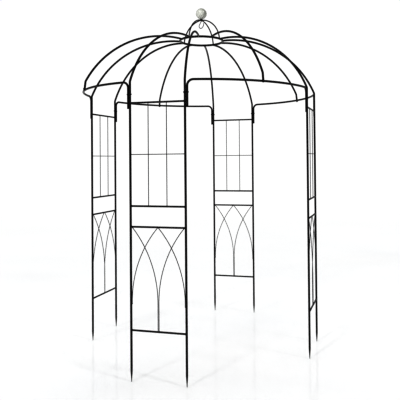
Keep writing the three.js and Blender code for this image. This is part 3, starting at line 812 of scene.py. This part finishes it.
class Nodes:
    """Small helper that adds and links shader nodes of one material."""

    def __init__(self, name):
        self.material = bpy.data.materials.new(name)
        self.material.use_nodes = True
        self.tree = self.material.node_tree
        self.shader = self.tree.nodes["Principled BSDF"]
        self.place = self.tree.nodes.new("ShaderNodeTexCoord").outputs["Object"]

    def add(self, kind, inputs=None, **settings):
        node = self.tree.nodes.new(kind)
        for name, value in settings.items():
            setattr(node, name, value)
        for name, value in (inputs or {}).items():
            self.put(node.inputs[name], value)
        return node

    def put(self, socket, value):
        if isinstance(value, bpy.types.NodeSocket):
            self.tree.links.new(value, socket)
        else:
            socket.default_value = value

    def noise(self, scale, detail=2.0, roughness=0.5, place=None):
        inputs = {
            "Vector": place or self.place,
            "Scale": scale,
            "Detail": detail,
            "Roughness": roughness,
        }
        return self.add("ShaderNodeTexNoise", inputs).outputs["Fac"]

    def ramp(self, factor, stops):
        node = self.add("ShaderNodeValToRGB", {"Fac": factor})
        elements = node.color_ramp.elements
        while len(elements) < len(stops):
            elements.new(0.5)
        for element, (position, colour) in zip(elements, stops):
            element.position = position
            element.color = (*colour, 1)
        return node.outputs["Color"]

    def spread(self, factor, low, high, start=0.0, end=1.0):
        """Maps a factor between start and end to the range from low to high."""
        inputs = {"Value": factor, "From Min": start, "From Max": end, "To Min": low, "To Max": high}
        return self.add("ShaderNodeMapRange", inputs).outputs["Result"]

    def mix(self, factor, first, second):
        node = self.add("ShaderNodeMix", data_type="RGBA")
        self.put(node.inputs["Factor"], factor)
        self.put(node.inputs["A"], first)
        self.put(node.inputs["B"], second)
        return node.outputs["Result"]

    def times(self, first, second):
        node = self.add("ShaderNodeMath", operation="MULTIPLY")
        self.put(node.inputs[0], first)
        self.put(node.inputs[1], second)
        return node.outputs["Value"]

    def bump(self, height, strength, distance, normal=None):
        inputs = {"Height": height, "Strength": strength, "Distance": distance}
        if normal:
            inputs["Normal"] = normal
        return self.add("ShaderNodeBump", inputs).outputs["Normal"]

    def finish(self, **sockets):
        for name, value in sockets.items():
            self.put(self.shader.inputs[name.replace("_", " ")], value)
        return self.material


def powder_coat():
    """Satin black powder coat: orange peel, fine grain, and a little dust on upper faces."""
    m = Nodes("black_powder_coat")
    patches = m.noise(7, 5, 0.6)
    base = m.ramp(patches, [(0.3, (0.0018, 0.0018, 0.002)), (0.75, (0.004, 0.0041, 0.0045))])
    normal = m.add("ShaderNodeNewGeometry").outputs["Normal"]
    facing_up = m.add("ShaderNodeSeparateXYZ", {"Vector": normal}).outputs["Z"]
    upper_faces = m.spread(facing_up, 0, 1, 0.35, 1)
    dust = m.times(upper_faces, m.spread(m.noise(60, 6, 0.7), 0, 0.15, 0.45, 0.8))
    colour = m.mix(dust, base, (0.06, 0.059, 0.056, 1))
    grain = m.spread(m.noise(2600, 2), 0, 0.06)
    rough = m.add("ShaderNodeMath", operation="ADD")
    m.put(rough.inputs[0], m.spread(m.noise(24, 4, 0.6), 0.22, 0.32, 0.3, 0.7))
    m.put(rough.inputs[1], grain)
    peel = m.bump(m.noise(620, 2, 0.45), 0.35, 0.12 * MM)
    fine = m.bump(m.noise(2400, 1), 0.15, 0.03 * MM, peel)
    return m.finish(
        Base_Color=colour,
        Roughness=rough.outputs["Value"],
        Normal=fine,
        Specular_IOR_Level=0.3,
    )


def blackened_steel():
    """Oiled black oxide on the bolts and nuts, worn lighter in small spots."""
    m = Nodes("blackened_steel")
    worn = m.noise(900, 4, 0.7)
    colour = m.ramp(worn, [(0.35, (0.009, 0.0095, 0.011)), (0.72, (0.035, 0.036, 0.039))])
    rough = m.spread(m.noise(1500, 3), 0.28, 0.5, 0.3, 0.7)
    turned_marks = m.add(
        "ShaderNodeTexWave",
        {"Vector": m.place, "Scale": 900, "Distortion": 3.0, "Detail": 2},
    ).outputs["Fac"]
    normal = m.bump(turned_marks, 0.12, 0.04 * MM)
    return m.finish(Base_Color=colour, Metallic=0.75, Roughness=rough, Normal=normal)


def zinc_plate():
    """Dull, weathered zinc plating with a soft spangle."""
    m = Nodes("zinc_plate")
    cells = m.add("ShaderNodeTexVoronoi", {"Vector": m.place, "Scale": 420}).outputs["Color"]
    spangle = m.add("ShaderNodeSeparateXYZ", {"Vector": cells}).outputs["X"]
    clouds = m.noise(300, 4, 0.6)
    tone = m.ramp(spangle, [(0, (0.1, 0.103, 0.108)), (1, (0.17, 0.173, 0.18))])
    colour = m.mix(m.spread(clouds, 0, 0.5, 0.4, 0.8), tone, (0.06, 0.06, 0.062, 1))
    rough = m.spread(spangle, 0.5, 0.62)
    normal = m.bump(m.noise(1800, 2), 0.15, 0.04 * MM)
    return m.finish(Base_Color=colour, Metallic=0.5, Roughness=rough, Normal=normal)


def milky_glass():
    """Milky blown glass with a net of fine cracks, its colour painted lighter on one side and darker on
    the other as painted light and shade.
    """
    m = Nodes("milky_glass")
    stretch = {"Vector": m.place, "Rotation": (0.5, 0.6, 0.2), "Scale": (1, 1, 0.4)}
    lean = m.add("ShaderNodeMapping", stretch)
    swirl = m.noise(24, 4, 0.5, lean.outputs["Vector"])
    # Painted light and shade: the colour grows lighter towards one side of the ball and darker towards
    # the other, as if lit from that side; the swirl added to it is the glass's own milkiness.
    side = m.add("ShaderNodeVectorMath", operation="DOT_PRODUCT")
    m.put(side.inputs[0], m.place)
    m.put(side.inputs[1], PAINTED_LIGHT_DIRECTION)
    middle = BALL_HEIGHT * PAINTED_LIGHT_DIRECTION[2]
    painted_side_shading = m.spread(side.outputs["Value"], -0.35, 0.35, middle - BALL_RADIUS, middle + BALL_RADIUS)
    milk_and_painted_shading = m.add("ShaderNodeMath", operation="ADD")
    m.put(milk_and_painted_shading.inputs[0], swirl)
    m.put(milk_and_painted_shading.inputs[1], painted_side_shading)
    cloudy_and_painted_shading = m.ramp(milk_and_painted_shading.outputs["Value"], [
        (0.25, (0.24, 0.247, 0.22)),
        (0.5, (0.38, 0.39, 0.355)),
        (0.85, (0.75, 0.76, 0.715)),
    ])
    net = {"Vector": m.place, "Scale": 210}
    cracks = m.add("ShaderNodeTexVoronoi", net, feature="DISTANCE_TO_EDGE")
    edge = m.spread(cracks.outputs["Distance"], 1, 0, 0, 0.06)
    body = m.mix(m.times(edge, 0.2), cloudy_and_painted_shading, (0.6, 0.61, 0.58, 1))
    flaws = m.bump(cracks.outputs["Distance"], 0.08, 0.3 * MM)
    normal = m.bump(m.noise(260, 3), 0.1, 0.1 * MM, flaws)
    rough = m.spread(swirl, 0.2, 0.34, 0.3, 0.7)
    return m.finish(
        Base_Color=body,
        Roughness=rough,
        Normal=normal,
        Transmission_Weight=0.1,
        IOR=1.5,
        Specular_IOR_Level=0.5,
    )


coat = powder_coat()
steel = blackened_steel()
zinc = zinc_plate()
glass = milky_glass()

# ---- Assembly ---------------------------------------------------------------------------


def bolt_and_nut(name, place, direction, spacing, turn, head_lift=0.0):
    seat = TUBE_RADIUS + GAP
    span = spacing + 2 * seat + head_lift
    foot = place - direction * (seat + head_lift)
    heading = Matrix.Rotation(math.atan2(direction.y, direction.x), 4, "Z")
    spin = Matrix.Rotation(luck.uniform(0, math.pi / 3), 4, "X")
    matrix = turn @ Matrix.Translation(foot) @ heading @ spin
    show(f"{name}_bolt", bolt(span), steel, matrix=matrix, crease=25)
    nut_matrix = turn @ Matrix.Translation(foot) @ heading @ Matrix.Translation((span, 0, 0)) @ spin
    show(f"{name}_nut", nut(), steel, matrix=nut_matrix, crease=25)


QUARTERS = (
    ("front", "front_right"),
    ("right", "back_right"),
    ("back", "back_left"),
    ("left", "front_left"),
)


def build_quarters():
    for index, (doorway, panel) in enumerate(QUARTERS):
        turn = Matrix.Rotation(math.radians(90 * index), 4, "Z")
        show(f"arch_{doorway}", arch(), coat, matrix=turn)
        show(f"mid_rib_{doorway}", mid_rib(), coat, matrix=turn)
        bolt_and_nut(
            f"mid_rib_{doorway}",
            Vector((0, -mid_rib_bolt_radius, ARCH_HEIGHT)),
            Y_AXIS,
            mid_rib_bolt_radius - ARCH_MIDDLE_RADIUS,
            turn,
            -mid_rib_slope * BOLT_HEAD_RADIUS,
        )
        panel_turn = Matrix.Rotation(math.radians(90 * index + 45), 4, "Z")
        show(f"lower_panel_{panel}", lower_panel(), coat, matrix=panel_turn)
        show(f"upper_panel_{panel}", upper_panel(), coat, matrix=panel_turn)
        for side, hand in ((-1, "left"), (1, "right")):
            leg = Vector((side * leg_x, -leg_y, ARCH_BOLT_HEIGHT))
            bolt_and_nut(f"arch_{doorway}_{hand}", leg, leg_to_post(side), tube_spacing, turn)
            rib_turn = panel_turn @ Matrix.Rotation(side * post_turn, 4, "Z")
            show(f"post_rib_{panel}_{hand}", post_rib(), coat, matrix=rib_turn)


def build_crown():
    show("crown_ring", crown_ring(), coat)
    show("crown", crown(), coat)
    show("finial_collar", finial_collar(), coat)
    show("finial_ball", finial_ball(), glass, crease=60)
    hanging = Matrix.Rotation(math.radians(HOOK_TURN), 4, "Z")
    show("hook", hook(), zinc, body="hook", matrix=hanging)


build_quarters()
build_crown()

# ---- Studio -----------------------------------------------------------------------------

CAMERA_TURN = -25.6  # degrees round the pavilion from its front doorway
CAMERA_DISTANCE = 4.943
CAMERA_HEIGHT = 1.61
CAMERA_YAW = 4.52  # degrees to the right of the pavilion's axis
CAMERA_PITCH = 0.86
CAMERA_ROLL = -0.53
CAMERA_LENS = 49.6  # mm on a 36 mm wide sensor
CAMERA_SHIFT = (-0.115, -0.122)


def make_camera():
    data = bpy.data.cameras.new("camera")
    data.sensor_width = 36.0
    data.lens = CAMERA_LENS
    data.shift_x, data.shift_y = CAMERA_SHIFT
    data.clip_end = 200.0
    camera = bpy.data.objects.new("camera", data)
    bpy.context.collection.objects.link(camera)
    turn = math.radians(CAMERA_TURN)
    place = Vector((math.sin(turn), -math.cos(turn), 0.0)) * CAMERA_DISTANCE
    place.z = CAMERA_HEIGHT
    heading = math.radians(CAMERA_YAW) - turn
    pitch = math.radians(CAMERA_PITCH)
    forward = Vector((
        math.sin(heading) * math.cos(pitch),
        math.cos(heading) * math.cos(pitch),
        math.sin(pitch),
    ))
    right = Vector((math.cos(heading), -math.sin(heading), 0.0))
    up = right.cross(forward)
    roll = Matrix.Rotation(math.radians(CAMERA_ROLL), 3, "Z")
    axes = Matrix((right, up, -forward)).transposed() @ roll
    camera.matrix_world = Matrix.Translation(place) @ axes.to_4x4()
    bpy.context.scene.camera = camera


DISPLAY_GAMMA = 0.54  # keeps tubes narrower than a pixel dark against the white
WORLD_SEEN = 1.02
WORLD_DIFFUSE = 0.8
WORLD_IN_REFLECTIONS = 0.36
FLOOR_REACH = 60.0
FLOOR_LEVEL = -0.2 * MM  # just under the spike tips
STAGE_FRONT = (-0.9, -1.9, 0)  # the floor's fill light grows with the distance from here
FILL_REACH = 10.0
FLOOR_FILL = (  # part of the reach, strength: evens out the white of the floor
    (0.13, 0.085), (0.21, 0.145), (0.29, 0.175), (0.39, 0.205),
    (0.54, 0.218), (0.73, 0.262), (1, 0.3),
)
BACKDROP_NEAR = 7.0  # where the floor starts to turn into the white backdrop
BACKDROP_FAR = 14.0


def make_floor():
    """Pale floor with a faint reflection, which turns into the backdrop further out."""
    floor = Shape()
    rings = [[Vector((0, 0, 0))]]
    rings.append(circle(Vector(), X_AXIS, Y_AXIS, FLOOR_REACH, 64))
    floor.skin(rings)
    mesh = bpy.data.meshes.new("floor")
    mesh.from_pydata(floor.points, [], floor.faces)
    m = Nodes("studio_floor")
    tone = m.ramp(m.noise(0.6, 3), [(0.3, (0.84, 0.845, 0.85)), (0.7, (0.87, 0.87, 0.87))])
    rough = m.spread(m.noise(1.5, 3), 0.05, 0.09)
    away = m.add("ShaderNodeVectorMath", operation="DISTANCE")
    m.put(away.inputs[0], m.place)
    m.put(away.inputs[1], STAGE_FRONT)
    distance = away.outputs["Value"]
    stops = [(part, (strength, strength, strength)) for part, strength in FLOOR_FILL]
    fill = m.ramp(m.spread(distance, 0, 1, 0, FILL_REACH), stops)
    material = m.finish(
        Base_Color=tone,
        Roughness=rough,
        Specular_IOR_Level=0.5,
        Emission_Color=fill,
        Emission_Strength=1,
    )
    backdrop = m.add("ShaderNodeEmission", {"Strength": WORLD_SEEN})
    far_out = m.spread(distance, 0, 1, BACKDROP_NEAR, BACKDROP_FAR)
    blend = m.add("ShaderNodeMixShader", {"Fac": far_out})
    m.put(blend.inputs[1], m.shader.outputs["BSDF"])
    m.put(blend.inputs[2], backdrop.outputs["Emission"])
    m.put(m.tree.nodes["Material Output"].inputs["Surface"], blend.outputs["Shader"])
    mesh.materials.append(material)
    piece = bpy.data.objects.new("floor", mesh)
    bpy.context.collection.objects.link(piece)
    piece.location.z = FLOOR_LEVEL


def soft_sun(name, azimuth, elevation, angle, strength):
    """Distant soft light, its azimuth in degrees anticlockwise from +X."""
    data = bpy.data.lights.new(name, "SUN")
    data.energy = strength
    data.angle = math.radians(angle)
    light = bpy.data.objects.new(name, data)
    bpy.context.collection.objects.link(light)
    turn = math.radians(azimuth)
    rise = math.radians(elevation)
    to_light = Vector((
        math.cos(turn) * math.cos(rise),
        math.sin(turn) * math.cos(rise),
        math.sin(rise),
    ))
    light.rotation_euler = to_light.to_track_quat("Z", "Y").to_euler()


def make_lights():
    soft_sun("overhead", azimuth=230, elevation=75, angle=80, strength=0.33)
    soft_sun("left_key", azimuth=207, elevation=30, angle=7, strength=0.9)
    soft_sun("right_key", azimuth=-64, elevation=30, angle=7, strength=0.9)


def make_world():
    """White for the camera, bright for diffuse light, dim in reflections so black stays black."""
    world = bpy.data.worlds.new("studio")
    bpy.context.scene.world = world
    world.use_nodes = True
    tree = world.node_tree
    background = tree.nodes["Background"]
    background.inputs["Color"].default_value = (1, 1, 1, 1)
    path = tree.nodes.new("ShaderNodeLightPath")
    strength = WORLD_IN_REFLECTIONS
    for kind, level in (("Is Diffuse Ray", WORLD_DIFFUSE), ("Is Camera Ray", WORLD_SEEN)):
        node = tree.nodes.new("ShaderNodeMath")
        node.operation = "MULTIPLY_ADD"
        tree.links.new(path.outputs[kind], node.inputs[0])
        node.inputs[1].default_value = level - WORLD_IN_REFLECTIONS
        if isinstance(strength, bpy.types.NodeSocket):
            tree.links.new(strength, node.inputs[2])
        else:
            node.inputs[2].default_value = strength
        strength = node.outputs["Value"]
    tree.links.new(strength, background.inputs["Strength"])


make_camera()
make_floor()
make_lights()
make_world()
bpy.context.scene.view_settings.view_transform = "Standard"
bpy.context.scene.view_settings.gamma = DISPLAY_GAMMA
